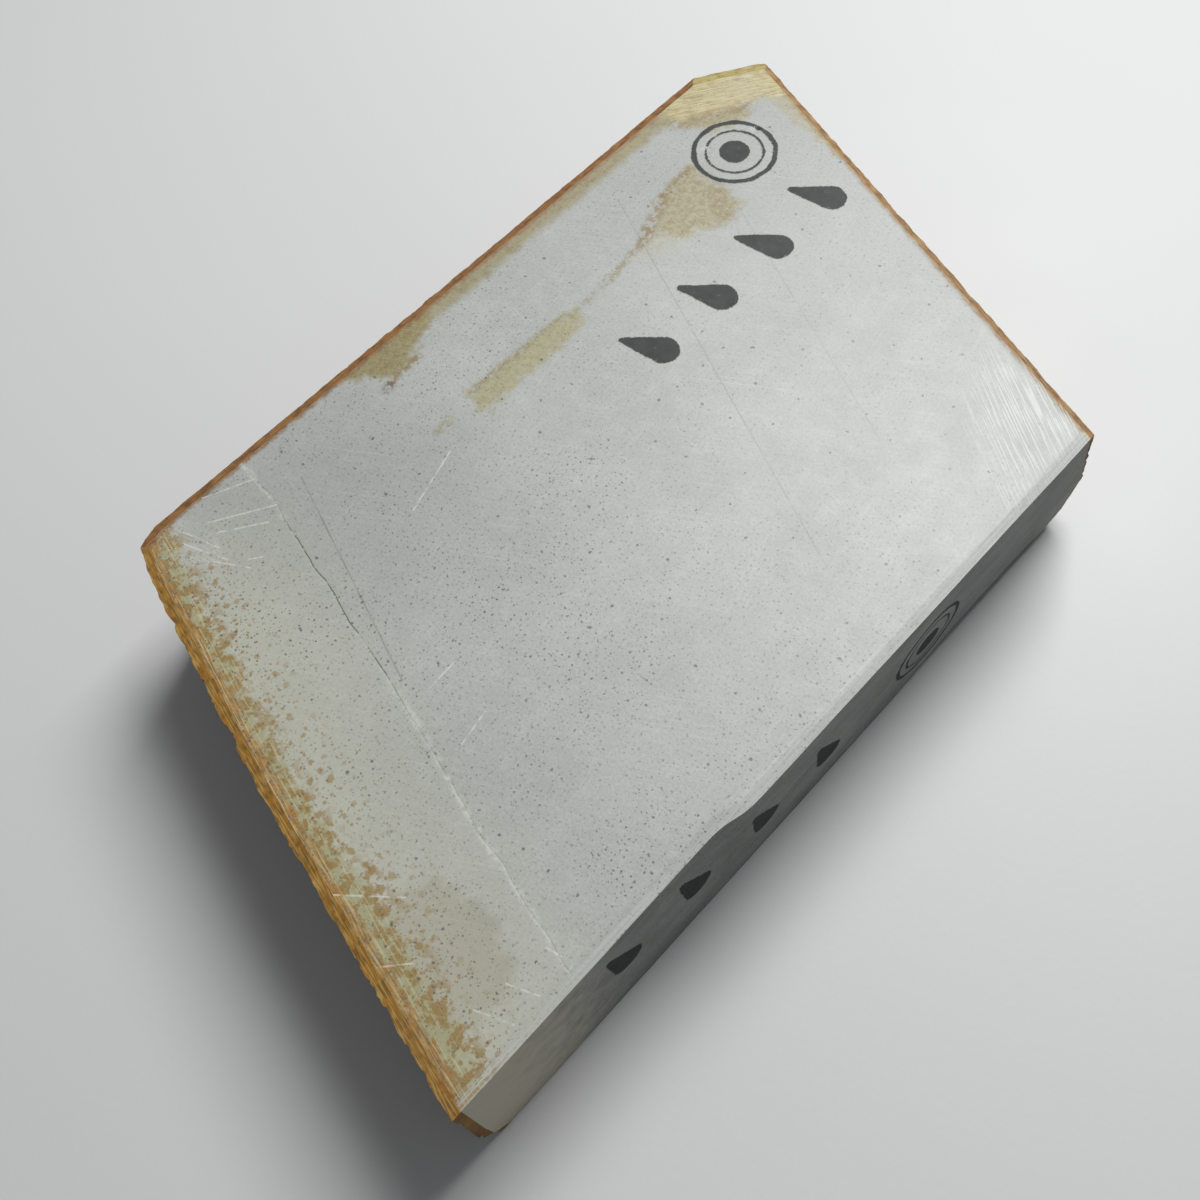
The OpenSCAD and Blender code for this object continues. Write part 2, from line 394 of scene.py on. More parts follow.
def within(points, loop):
    """Which of the points lie inside a closed loop."""
    x, y = points[:, 0], points[:, 1]
    inside = np.zeros(len(points), bool)
    for (ax, ay), (bx, by) in zip(loop, np.roll(loop, -1, axis=0)):
        if ay != by:
            crossed = ((ay > y) != (by > y)) & (x < ax + (bx - ax) * (y - ay) / (by - ay))
            inside ^= crossed
    return inside


def scatter(rim, spacing, seed):
    """Points of a shaken honeycomb inside a rim."""
    low, high = rim.min(axis=0), rim.max(axis=0)
    row_step = spacing * math.sqrt(3) / 2
    dice = np.random.default_rng(seed)
    rows = []
    for row, y in enumerate(np.arange(low[1], high[1], row_step)):
        x = np.arange(low[0] + (row % 2) * spacing / 2, high[0], spacing)
        rows.append(np.stack([x, np.full_like(x, y)], axis=1))
    grid = np.concatenate(rows)
    grid += dice.uniform(-0.22, 0.22, grid.shape) * spacing
    grid = grid[within(grid, rim)]
    near = rim_tree(rim)
    keep = [near.find((x, y, 0))[2] > 0.62 * spacing for x, y in grid]
    return grid[np.array(keep, bool)] if len(grid) else grid


def front_wall(columns):
    """Points of the sawn front, from its left corner to its right one, bottom row first."""
    left, right = columns.inner[-1], columns.inner[0]
    count = round(np.linalg.norm(right[ROWS] - left[ROWS]) / WALL_STEP)
    wall = np.zeros((count + 1, ROWS + 1, 3))
    wall[0], wall[-1] = left, right
    for j in range(1, count):
        across = j / count
        x_foot = left[0, 0] * (1 - across) + right[0, 0] * across
        foot = lowest(lambda z: Vector((x_foot, front_y(x_foot, z), z)))
        chip = max(0, noise.noise(Vector((x_foot / MM / 6.5, 9.9, 0))) + 0.2)
        foot += 0.7 * MM * chip * smooth(min(across, 1 - across), 0, 0.03)
        top = TOP - BAND_DROP
        for k in range(ROWS + 1):
            x = left[k, 0] * (1 - across) + right[k, 0] * across
            z = foot + (top - foot) * k / ROWS
            y = front_y(x, np.clip(z, foot + 2 * HAIR, top - 2 * HAIR))
            wall[j, k] = (x, y, z)
    return eased(wall)


def eased(wall):
    """The front with the end of its set-back part turned into a soft curve, and a trace of unevenness."""
    reach = 6
    spread = 2.4
    weights = np.exp(-0.5 * (np.arange(-reach, reach + 1) / spread) ** 2)
    weights /= weights.sum()
    depth = np.pad(wall[:, :, 1], ((reach, reach), (0, 0)), mode="edge")
    soft = sum(w * depth[i:i + len(wall)] for i, w in enumerate(weights))
    ends = smooth(np.arange(len(wall)), 0, 8) * smooth(np.arange(len(wall))[::-1], 0, 8)
    wall[:, :, 1] += (soft - wall[:, :, 1]) * ends[:, None]
    for j in range(1, len(wall) - 1):
        for k in range(ROWS + 1):
            x, _, z = wall[j, k] / MM
            wave = noise.noise(Vector((x / 14, z / 10, 3.3))) + 0.4 * noise.noise(Vector((x / 3, z / 3, 1.3)))
            wall[j, k, 1] += 0.07 * MM * wave * ends[j]
    return wall


def build_block(columns):
    """The block of rock inside the rinds, with the honing face, the sawn front and the underside."""
    shell = Shell()
    wall = [shell.add(column) for column in front_wall(columns)]
    for a, b in zip(wall, wall[1:]):
        shell.strip(a, b)
    hidden = [shell.add(column[::COARSE]) for column in columns.inner[1:-1]]
    for a, b in zip(hidden, hidden[1:]):
        shell.strip(a, b)
    shell.ladder(wall[-1], hidden[0])
    shell.ladder(wall[0], hidden[-1])
    around = wall + hidden
    band = np.array([shell.points[column[-1]][:2] for column in wall[2:-2]]) + [0, BAND_WIDTH]
    middle, side_a, side_b = vein_lines()
    crack = rim_tree(middle)

    def ground(x, y, _):
        opened = 1 - smooth(crack.find((x, y, 0))[2], 0, 0.8 * VEIN_HALF)
        return honed(x, y) - VEIN_DEPTH * opened

    shell.cap([column[-1] for column in around], TOP_STEP, [band, middle, side_a, side_b], ground, 11)
    shell.cap([column[0] for column in around], UNDER_STEP, [], cleft, 12)
    piece = shell.build("stone_block_rock", "stone_block", 30)
    mark_vein(piece, crack)
    return piece


def mark_vein(piece, crack):
    """Writes how strongly the healed crack shows at each point of the block."""
    values = []
    for point in piece.data.vertices:
        x, y, z = point.co
        shown = 1 - smooth(crack.find((x, y, 0))[2], 0, VEIN_HALF)
        values.append(shown if z > TOP - 2 * BAND_DROP else 0.0)
    layer = piece.data.attributes.new("vein", "FLOAT", "POINT")
    layer.data.foreach_set("value", values)


def build_rind(columns, name, corners):
    """The weathered skin of one split face: worn outside, with a narrow rim on the honing face."""
    shell = Shell()
    first, last = (columns.first[i] for i in corners)
    rings = []
    for c in range(first, last + 1):
        outer, inner = columns.outer[c], columns.inner[c]
        rim = []
        for share in (0.75, 0.5, 0.25):
            x, y, z = inner[-1] + (outer[-1] - inner[-1]) * share
            z += 0.08 * MM * noise.noise(Vector((x, y, 0)) / (1.6 * MM)) - 0.06 * MM
            rim.append((x, y, z))
        ring = shell.add(outer) + shell.add(rim) + shell.add(inner[::-COARSE])
        rings.append(ring + [ring[0]])
    for a, b in zip(rings, rings[1:]):
        shell.strip(a, b)
    shell.faces.append(tuple(rings[0][:-1]))
    shell.faces.append(tuple(rings[-1][:-1]))
    return shell.build(f"{name}_skin", name, 32)


# ---------------------------------------------------------------- ink marks


def mark_loops(name, axis, sign):
    """The outlines of an ink node's outward face, as loops of points across the given axis."""
    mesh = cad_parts[name].data
    keep = [i for i in range(3) if i != axis]
    edges = {}
    for face in mesh.polygons:
        if face.normal[axis] * sign < 0.9:
            continue
        corners = [tuple(np.round(np.array(mesh.vertices[i].co)[keep] / MM, 3)) for i in face.vertices]
        for a, b in zip(corners, corners[1:] + corners[:1]):
            if (b, a) in edges:
                del edges[(b, a)]
            else:
                edges[(a, b)] = True
    following = {a: b for a, b in edges}
    loops = []
    while following:
        start, here = following.popitem()
        loop = [start]
        while here != start:
            loop.append(here)
            here = following.pop(here)
        loops.append(np.array(loop) * MM)
    return loops


def brushed(loop, seed):
    """A loop with even steps and the slight waver of a brushed edge."""
    closed = np.vstack([loop, loop[:1]])
    lengths = np.concatenate([[0], np.cumsum(np.linalg.norm(np.diff(closed, axis=0), axis=1))])
    count = max(12, round(lengths[-1] / INK_STEP))
    stops = np.arange(count) / count * lengths[-1]
    even = np.stack([np.interp(stops, lengths, closed[:, i]) for i in (0, 1)], axis=1)
    tangent = np.roll(even, -1, axis=0) - np.roll(even, 1, axis=0)
    normal = np.stack([-tangent[:, 1], tangent[:, 0]], axis=1)
    normal /= np.linalg.norm(normal, axis=1)[:, None]
    waver = [
        0.24 * noise.noise(Vector((x / MM / 2.6, y / MM / 2.6, seed)))
        + 0.12 * noise.noise(Vector((x / MM / 0.9, y / MM / 0.9, seed)))
        for x, y in even
    ]
    return even + normal * np.array(waver)[:, None] * MM


def build_ink(name, axis, sign, ground):
    """The ink of one row of marks, as thin closed films that lie on the stone's surface."""
    shell = Shell()
    loops = [brushed(loop, i) for i, loop in enumerate(mark_loops(name, axis, sign))]
    rim = np.concatenate(loops)
    covered = lambda points: sum(within(points, loop).astype(int) for loop in loops) % 2 == 1
    box_loop = np.array([rim.min(0), [rim[:, 0].max(), rim[:, 1].min()], rim.max(0), [rim[:, 0].min(), rim[:, 1].max()]])
    inside = scatter(box_loop, INK_STEP, 21)
    near = rim_tree(rim)
    inside = inside[covered(inside) & np.array([near.find((x, y, 0))[2] > 0.6 * INK_STEP for x, y in inside])]
    flat = np.concatenate([rim, inside])
    edges = []
    first = 0
    for loop in loops:
        edges += [(first + i, first + (i + 1) % len(loop)) for i in range(len(loop))]
        first += len(loop)
    points, _, faces, _, _, _ = delaunay_2d_cdt([Vector(p / MM) for p in flat], edges, [], 0, 1e-5)
    places = np.array(points) * MM
    middles = np.array([places[list(face)].mean(axis=0) for face in faces])
    faces = [face for face, inked in zip(faces, covered(middles)) if inked]
    proud, sunk = 0.02 * MM, -0.15 * MM
    upper = shell.add(on_surface(places, axis, sign, proud, ground))
    lower = shell.add(on_surface(places, axis, sign, sunk, ground))
    open_edges = set()
    for face in faces:
        shell.faces.append(tuple(upper[i] for i in face))
        shell.faces.append(tuple(lower[i] for i in reversed(face)))
        for a, b in zip(face, face[1:] + face[:1]):
            open_edges ^= {(min(a, b), max(a, b))}
    for a, b in sorted(open_edges):
        shell.faces.append((upper[a], upper[b], lower[b], lower[a]))
    used = sorted({i for face in shell.faces for i in face})
    renumber = {old: new for new, old in enumerate(used)}
    shell.points = [shell.points[i] for i in used]
    shell.faces = [tuple(renumber[i] for i in face) for face in shell.faces]
    piece = shell.build(f"{name}_film", name, 60)
    layer = piece.data.attributes.new("edge_mm", "FLOAT", "POINT")
    keep = [i for i in range(3) if i != axis]
    across = [[v.co[i] for i in keep] for v in piece.data.vertices]
    layer.data.foreach_set("value", [near.find((x, y, 0))[2] / MM for x, y in across])
    return piece


def on_surface(places, axis, sign, proud, ground):
    """Flat places moved out to the stone's visible surface, and proud of it."""
    moved = []
    direction = Vector((0, 0, 0))
    direction[axis] = -sign
    for place_xy in places:
        point = Vector((0, 0, 0))
        for i, value in zip([i for i in range(3) if i != axis], place_xy):
            point[i] = value
        origin = point.copy()
        origin[axis] = sign * FAR
        found = ground.ray_cast(origin, direction)[0]
        moved.append(found - direction * proud)
    return moved


# ---------------------------------------------------------------- materials


class Term:
    """A node output that takes part in plain arithmetic."""

    def __init__(self, shader, socket):
        self.shader = shader
        self.socket = socket

    def __add__(self, other):
        return self.shader.math("ADD", self, other)

    def __sub__(self, other):
        return self.shader.math("SUBTRACT", self, other)

    def __rsub__(self, other):
        return self.shader.math("SUBTRACT", other, self)

    def __mul__(self, other):
        return self.shader.math("MULTIPLY", self, other)

    __radd__ = __add__
    __rmul__ = __mul__


class Shader:
    """Builds the nodes of one material. Its lengths are in millimetres."""

    def __init__(self, name, flat=False):
        """A flat shader draws its patterns without depth, which suits level and upright faces and is quicker."""
        self.material = bpy.data.materials.new(name)
        self.material.use_nodes = True
        self.tree = self.material.node_tree
        self.tree.nodes.clear()
        coordinates = self.node("ShaderNodeTexCoord").outputs["Object"]
        self.point = self.vector("SCALE", coordinates, Scale=1 / MM)
        split = self.node("ShaderNodeSeparateXYZ", {"Vector": self.point})
        self.x, self.y, self.z = (Term(self, split.outputs[i]) for i in range(3))
        facing = self.node("ShaderNodeNewGeometry").outputs["Normal"]
        faced = self.node("ShaderNodeSeparateXYZ", {"Vector": facing})
        self.facing = [Term(self, faced.outputs[i]) for i in range(3)]
        self.dimensions = "2D" if flat else "3D"
        self.pattern = self.point
        if flat:
            drawn = self.node("ShaderNodeCombineXYZ", {"X": self.x, "Y": self.y + self.z})
            self.pattern = Term(self, drawn.outputs[0])
        self.wander = self.noise(4, 4, 0.62, shift=2) - 0.5

    def node(self, kind, inputs=None, **settings):
        made = self.tree.nodes.new(kind)
        for key, value in settings.items():
            setattr(made, key, value)
        for key, value in (inputs or {}).items():
            self.feed(made.inputs[key], value)
        return made

    def feed(self, socket, value):
        if isinstance(value, Term):
            value = value.socket
        if isinstance(value, bpy.types.NodeSocket):
            self.tree.links.new(value, socket)
        else:
            socket.default_value = value

    def math(self, operation, *values):
        made = self.node("ShaderNodeMath", dict(enumerate(values)), operation=operation)
        return Term(self, made.outputs[0])

    def least(self, *values):
        least = values[0]
        for value in values[1:]:
            least = self.math("MINIMUM", least, value)
        return least

    def most(self, *values):
        most = values[0]
        for value in values[1:]:
            most = self.math("MAXIMUM", most, value)
        return most

    def vector(self, operation, *values, **named):
        inputs = dict(enumerate(values))
        inputs.update(named)
        made = self.node("ShaderNodeVectorMath", inputs, operation=operation)
        scalar = operation in ("DOT_PRODUCT", "LENGTH", "DISTANCE")
        return Term(self, made.outputs["Value" if scalar else "Vector"])

    def rise(self, value, low, high, bottom=0.0, top=1.0):
        """Goes from bottom to top as the value goes from low to high. High may be the smaller one."""
        if high < low:
            low, high, bottom, top = high, low, top, bottom
        inputs = {"Value": value, "From Min": low, "From Max": high, "To Min": bottom, "To Max": top}
        made = self.node("ShaderNodeMapRange", inputs, interpolation_type="SMOOTHSTEP", clamp=True)
        return Term(self, made.outputs["Result"])

    def moved(self, size, stretch, shift):
        scale = [s / size for s in stretch]
        return self.vector("MULTIPLY_ADD", self.pattern, scale, [shift, shift * 0.7, shift * 0.3])

    def noise(self, size, detail=2, rough=0.5, stretch=(1, 1, 1), shift=0.0):
        inputs = {"Vector": self.moved(size, stretch, shift), "Scale": 1, "Detail": detail, "Roughness": rough}
        return Term(self, self.node("ShaderNodeTexNoise", inputs, noise_dimensions=self.dimensions).outputs[0])

    def grooves(self, size, degrees, length, shift):
        """Noise drawn out along one direction of the honing face."""
        turned = self.node("ShaderNodeVectorRotate", {"Vector": self.point, "Angle": math.radians(degrees)})
        drawn = self.vector("MULTIPLY_ADD", turned.outputs[0], (1 / length, 1 / size, 0), (shift, shift, 0))
        inputs = {"Vector": drawn, "Scale": 1, "Detail": 1, "Roughness": 0.4}
        return Term(self, self.node("ShaderNodeTexNoise", inputs, noise_dimensions="2D").outputs[0])

    def specks(self, size, radius, share, shift=0.0, ragged=0.5):
        """Uneven specks on a share of the cells of a given size."""
        inputs = {"Vector": self.moved(size, (1, 1, 1), shift), "Scale": 1}
        cell = self.node("ShaderNodeTexVoronoi", inputs, voronoi_dimensions=self.dimensions)
        chosen = self.node("ShaderNodeSeparateXYZ", {"Vector": cell.outputs["Color"]})
        picked = self.math("LESS_THAN", Term(self, chosen.outputs[0]), share)
        grown = Term(self, chosen.outputs[1]) * 0.6 + 0.4
        distance = Term(self, cell.outputs["Distance"]) * size
        uneven = (self.noise(radius * 1.3, 2, 0.6, shift=shift) - 0.5) * (2 * ragged * radius)
        return picked * self.rise(distance - grown * radius + uneven, 0.0, -0.5 * radius)

    def mix(self, weight, a, b):
        made = self.node("ShaderNodeMix", {0: weight, 6: a, 7: b}, data_type="RGBA")
        return Term(self, made.outputs[2])

    def line(self, start, end, half_width, waver=0.0):
        """1 on a line between two places, fading to 0 at its half width."""
        a, b = place(*start) / MM, place(*end) / MM
        run = b - a
        from_start = self.vector("SUBTRACT", self.point, (*a, TOP / MM))
        share = self.vector("DOT_PRODUCT", from_start, (*(run / (run @ run)), 0))
        share = self.most(self.least(share, 1), 0)
        nearest = self.vector("SCALE", (*run, 0), Scale=share)
        gap = self.vector("LENGTH", self.vector("MULTIPLY", self.vector("SUBTRACT", from_start, nearest), (1, 1, 0)))
        if waver:
            gap = gap + self.wander * waver
        return self.rise(gap, half_width, 0)

    def beside(self, a, b):
        """Distance to the left of the line from one point to another, as seen from above."""
        along = (b - a) / np.linalg.norm(b - a)
        normal = (-along[1], along[0], 0)
        return self.vector("DOT_PRODUCT", self.point, normal) - float(a @ normal[:2])

    def from_edge(self, corner):
        """Distance in from the outline's straight edge that starts at a corner."""
        return self.beside(RING[corner] / MM, RING[(corner + 1) % CORNERS] / MM)

    def patch(self, places, soft=1.6, waver=7.0):
        """1 inside an uneven many-sided patch on the honing face, and 0 outside it."""
        corners = [place(u, v) / MM for u, v in places]
        sides = [self.beside(a, b) for a, b in zip(corners, corners[1:] + corners[:1])]
        return self.rise(self.least(*sides) + self.wander * waver, -soft, soft)

    def finish(self, colour, roughness, height, distance, specular=0.5):
        bump = self.node("ShaderNodeBump", {"Height": height, "Strength": 1.0, "Distance": distance})
        inputs = {
            "Base Color": colour,
            "Roughness": roughness,
            "Specular IOR Level": specular,
            "Normal": bump.outputs[0],
        }
        surface = self.node("ShaderNodeBsdfPrincipled", inputs)
        output = self.node("ShaderNodeOutputMaterial")
        self.tree.links.new(surface.outputs[0], output.inputs["Surface"])
        return self.material


def linear(red, green, blue):
    """A colour given in the 0 to 255 steps of a screen, as the shader wants it."""
    steps = np.array([red, green, blue]) / 255
    values = np.where(steps > 0.04045, ((steps + 0.055) / 1.055) ** 2.4, steps / 12.92)
    return (*values, 1.0)


SLATE_PALE = linear(150, 152, 148)
SLATE_DEEP = linear(142, 145, 142)
SLATE_LIGHT = linear(167, 170, 167)
SLATE_DIM = linear(131, 134, 130)
SPECK = linear(62, 65, 60)
OCHRE = linear(122, 96, 40)
BROWN = linear(84, 60, 34)
DARK_OLIVE = linear(104, 84, 22)
OLIVE = linear(118, 108, 54)
STRAW = linear(134, 126, 84)
MOSS = linear(134, 130, 92)
SCRATCH = linear(192, 194, 186)
SHADE = linear(120, 117, 107)
DRY = linear(164, 162, 138)

# Looks of the honing face's rim beside each split face: its colour, its blotches, its pale scratches, and the
# turn in degrees that brings the edge onto the X axis
RIMS = {
    "rind_left_end": (linear(133, 94, 34), linear(95, 68, 28), linear(168, 146, 88), -77),
    "rind_back": (linear(116, 78, 42), linear(82, 56, 34), linear(140, 112, 70), 0),
    "rind_right_end": (linear(130, 98, 58), linear(100, 76, 50), linear(160, 142, 112), -71),
    "rind_pointed_corner": (linear(143, 131, 82), linear(122, 104, 60), linear(174, 168, 134), 34),
}

# The pale scratches on the honing face that stand out, each from one place to another
SCRATCHES = [
    ((0.213, 0.972), (0.260, 0.936)), ((0.200, 0.929), (0.255, 0.872)), ((0.196, 0.907), (0.238, 0.857)),
    ((0.200, 0.829), (0.217, 0.808)), ((0.225, 0.461), (0.255, 0.464)), ((0.208, 0.364), (0.242, 0.375)),
    ((0.336, 0.700), (0.403, 0.736)), ((0.137, 0.086), (0.141, 0.057)), ((0.098, 0.086), (0.109, 0.043)),
    ((0.068, 0.093), (0.081, 0.043)), ((0.050, 0.343), (0.090, 0.264)), ((0.026, 0.243), (0.060, 0.193)),
    ((0.170, 0.930), (0.188, 0.850)), ((0.178, 0.945), (0.190, 0.880)), ((0.166, 0.900), (0.196, 0.815)),
]
# Dark hairlines that cross the honing face, and how strong they are
HAIRLINES = [
    ((0.290, 0.880), (0.214, 0.500), 0.5), ((0.737, 0.897), (0.536, 0.157), 0.28), ((0.813, 0.736), (0.674, 0.243), 0.2),
]
# Stained patches: the places around them, their tint, the tint of their blots, and how strong they are
STAINS = [
    ([(0.386, 1.000), (0.394, 0.965), (0.428, 0.915), (0.449, 0.915), (0.500, 0.961), (0.517, 1.000)],
     OLIVE, DARK_OLIVE, 0.85),
    ([(0.453, 0.765), (0.462, 0.747), (0.576, 0.747), (0.602, 0.765), (0.602, 0.786), (0.500, 0.797), (0.462, 0.793)],
     linear(136, 129, 80), OLIVE, 0.72),
    ([(0.593, 0.772), (0.600, 0.744), (0.725, 0.744), (0.780, 0.693), (0.797, 0.736), (0.729, 0.800)],
     linear(150, 147, 124), STRAW, 0.34),
    ([(0.725, 0.790), (0.742, 0.757), (0.784, 0.715), (0.818, 0.722), (0.822, 0.854), (0.767, 0.840)],
     STRAW, DARK_OLIVE, 0.74),
    ([(0.860, 0.929), (0.873, 0.879), (0.903, 0.851), (0.928, 0.865), (0.915, 0.915), (0.881, 0.951)],
     STRAW, DARK_OLIVE, 0.75),
    ([(0.034, 0.185), (0.038, 0.085), (0.102, 0.071), (0.128, 0.157), (0.119, 0.257), (0.059, 0.285)],
     SHADE, SHADE, 0.72),
]
# Dotted brown lines at the stains' borders: start, end, half width, tint and strength
TRAILS = [
    ((0.593, 0.779), (0.653, 0.785), 1.0, DARK_OLIVE, 0.4),
    ((0.653, 0.785), (0.712, 0.797), 1.2, DARK_OLIVE, 0.6),
    ((0.712, 0.797), (0.770, 0.840), 2.0, DARK_OLIVE, 0.9),
    ((0.770, 0.843), (0.818, 0.850), 1.6, DARK_OLIVE, 0.8),
    ((0.790, 0.725), (0.812, 0.775), 3.2, DARK_OLIVE, 0.6),
    ((0.462, 0.795), (0.590, 0.790), 1.0, DARK_OLIVE, 0.6),
    ((0.411, 0.778), (0.428, 0.781), 1.2, OLIVE, 0.7),
    ((0.411, 0.906), (0.419, 0.908), 1.4, BROWN, 0.9),
    ((0.425, 0.912), (0.458, 0.914), 1.3, DARK_OLIVE, 0.8),
    ((0.862, 0.945), (0.925, 0.880), 3.4, DARK_OLIVE, 0.75),
]
# The scraped straw-coloured zone at the pointed corner
POINT_ZONE = [(0.856, 1.020), (0.860, 0.951), (0.970, 0.836), (1.020, 0.929), (0.924, 1.030)]
# Painted shade: a dimmer patch at the back left of the honing face, where the top catches less sheen
PAINTED_SHADE_ZONE = [(0.190, 0.990), (0.250, 0.640), (0.330, 0.560), (0.420, 0.740), (0.380, 0.960)]
# The rubbed zone at the front right corner, whose pale scratches are also a painted highlight of the sheen there, and
# the scuffed one at the back left
RUBBED_AND_SHEEN_ZONE = [(0.690, 0.010), (0.820, 0.010), (0.850, 0.160), (0.805, 0.205), (0.755, 0.170)]
SCUFFED_ZONE = [(0.166, 0.965), (0.166, 0.860), (0.188, 0.850), (0.196, 0.955)]


def rock_colour(s):
    """The bare rock's colour: faintly cloudy blue-grey, with painted shade at the back left and towards the right end.
    """
    colour = s.mix(s.rise(s.noise(34, 4, 0.55), 0.3, 0.7), SLATE_DEEP, SLATE_PALE)
    mottle = s.rise(s.noise(4.5, 4, 0.6, shift=9), 0.42, 0.75)
    colour = s.mix(mottle * 0.22, colour, SLATE_LIGHT)
    # Painted shade: the back left of the honing face and its part towards the right end are darkened halfway to a
    # dimmer grey.
    painted_shade_mask = s.most(s.patch(PAINTED_SHADE_ZONE, soft=22.0), s.rise(s.x, 20, 80))
    colour = s.mix(painted_shade_mask * 0.5, colour, SLATE_DIM)
    grain = s.rise(s.noise(0.7, 2, 0.6, shift=4), 0.3, 0.7, 0.0, 0.13)
    return s.mix(grain, colour, SPECK)


def dark_specks(s):
    """Small dark specks all over the rock, darker and closer together towards the left end."""
    strength = s.rise(s.x, 50, -50, 0.42, 0.82)
    crowded = s.rise(s.noise(24, 3, 0.5, shift=4), 0.35, 0.65, 0.5, 1.0)
    fine = s.specks(1.0, 0.24, 0.62, 1, ragged=0.8)
    small = s.specks(1.7, 0.34, 0.74, 7, ragged=0.9)
    large = s.specks(7.0, 0.5, 0.5, 3, ragged=0.9)
    return s.most(fine * crowded * strength * 0.75, small * crowded * strength, large * 0.8)


def worn_rim(s, rind):
    """The rusty, scratched colour of the honing face's rim beside one split face."""
    tint, dark, pale, turn = RIMS[rind]
    blotches = s.rise(s.noise(2.6, 4, 0.65, shift=5), 0.42, 0.62)
    lines = s.rise(s.grooves(0.3, turn, 4, 3.0), 0.46, 0.68)
    return s.mix(lines * 0.5, s.mix(blotches * 0.75, tint, dark), pale)


def left_stain(s, colour, on_top):
    """Rust along the left edge: a scratched rim, a mossy band with blotches, then freckles that thin out."""
    left = s.least(s.from_edge(8), s.from_edge(7), s.from_edge(6))
    ragged = s.wander * 7
    near_front = s.rise(s.y, -8, -34)
    dry = s.rise(left + ragged * 1.6, 48, 8) * s.rise(s.y, 66, 34, 0.1, 0.45)
    colour = s.mix(dry * on_top, colour, DRY)
    blotches = s.rise(s.noise(3.0, 3, 0.65, shift=5), 0.45, 0.57)
    band = s.rise(left + ragged * 0.9 - near_front * 1.5, 9.0, 5.5)
    colour = s.mix(band * on_top * 0.8, colour, MOSS)
    reach = s.rise(left + ragged - near_front * 2.5, 12.0, 6.0)
    colour = s.mix(reach * blotches * on_top * 0.85, colour, OCHRE)
    zone = s.rise(left + ragged * 1.3, 26, 9) * s.rise(s.y, 66, 50)
    big = s.specks(3.3, 1.1, 0.55, 6, ragged=0.8)
    small = s.specks(1.8, 0.55, 0.6, 1, ragged=0.8)
    freckles = s.most(big * s.rise(left, 24, 12), small)
    colour = s.mix(freckles * zone * on_top * 0.75, colour, OCHRE)
    rim = s.rise(left + ragged * 0.5, 5.2, 3.6)
    colour = s.mix(rim * on_top * 0.92, colour, worn_rim(s, "rind_left_end"))
    scuffs = s.rise(s.grooves(0.42, RIMS["rind_left_end"][3], 9, 3.0), 0.58, 0.7)
    return s.mix(scuffs * s.rise(left, 11, 6) * on_top * 0.4, colour, linear(176, 170, 134))


def edge_stains(s, colour, on_top):
    """Rust along the back, the right end and the pointed corner of the honing face."""
    ragged = s.wander * 7
    back = s.least(s.from_edge(4), s.from_edge(5))
    right = s.from_edge(1)
    blots = s.rise(s.noise(2.4, 4, 0.7, shift=15), 0.46, 0.6)
    tinged = s.rise(back + ragged * 0.5, 8.0, 4.5) * s.rise(s.x, -10, 6)
    colour = s.mix(tinged * on_top * 0.75, colour, s.mix(blots * 0.8, OLIVE, DARK_OLIVE))
    colour = s.mix(s.rise(back + ragged * 0.3, 3.6, 2.4) * on_top * 0.85, colour, worn_rim(s, "rind_back"))
    colour = s.mix(s.rise(right + ragged * 0.35, 3.6, 2.2) * on_top * 0.85, colour, worn_rim(s, "rind_right_end"))
    wide = s.rise(right + ragged * 0.6 - s.rise(s.y, 15, 50) * 4.5, 3.5, 1.0) * s.rise(s.y, 0, 30)
    colour = s.mix(wide * on_top * 0.52, colour, s.mix(blots * 0.8, STRAW, OCHRE))
    near_point = s.patch(POINT_ZONE, waver=5.0) * on_top
    colour = s.mix(near_point * 0.85, colour, worn_rim(s, "rind_pointed_corner"))
    faded = s.rise(s.grooves(0.36, RIMS["rind_pointed_corner"][3], 10, 7.0), 0.5, 0.64)
    return s.mix(near_point * faded * 0.55, colour, linear(172, 165, 124))


def single_stains(s, colour, on_top):
    """The separate stains on the honing face: mottled patches, and the dotted lines at their borders."""
    blots = s.rise(s.noise(1.5, 4, 0.75, shift=12), 0.38, 0.66)
    for places, tint, dark, strength in STAINS:
        colour = s.mix(s.patch(places) * on_top * strength, colour, s.mix(blots * 0.9, tint, dark))
    dotted = s.rise(s.noise(1.8, 3, 0.7, shift=31), 0.4, 0.58, 0.15, 1.0)
    for start, end, half_width, tint, strength in TRAILS:
        mask = s.line(start, end, half_width * 1.5, waver=3.0)
        colour = s.mix(mask * dotted * on_top * strength, colour, tint)
    return colour


def vein_colour(s, colour):
    """The healed crack: whitish at both ends, and a dark hair's breadth in between."""
    vein = Term(s, s.node("ShaderNodeAttribute", attribute_name="vein").outputs["Fac"])
    ends = s.most(s.rise(s.y, 42, 52), s.rise(s.y, 6, -8))
    broken = s.rise(s.noise(2.6, 3, 0.7, shift=8), 0.42, 0.6, 0.15, 1.0)
    haze = s.most(*(s.line(start, end, 1.2, waver=1.5) for start, end in zip(VEIN, VEIN[1:])))
    colour = s.mix(s.most(vein * 0.6, haze * 0.34) * ends * broken, colour, SCRATCH)
    core = s.rise(vein, 0.35, 0.85) * s.rise(s.noise(3.6, 3, 0.6, shift=18), 0.3, 0.45)
    return s.mix(core * (1 - ends * 0.65) * 0.85, colour, SPECK)


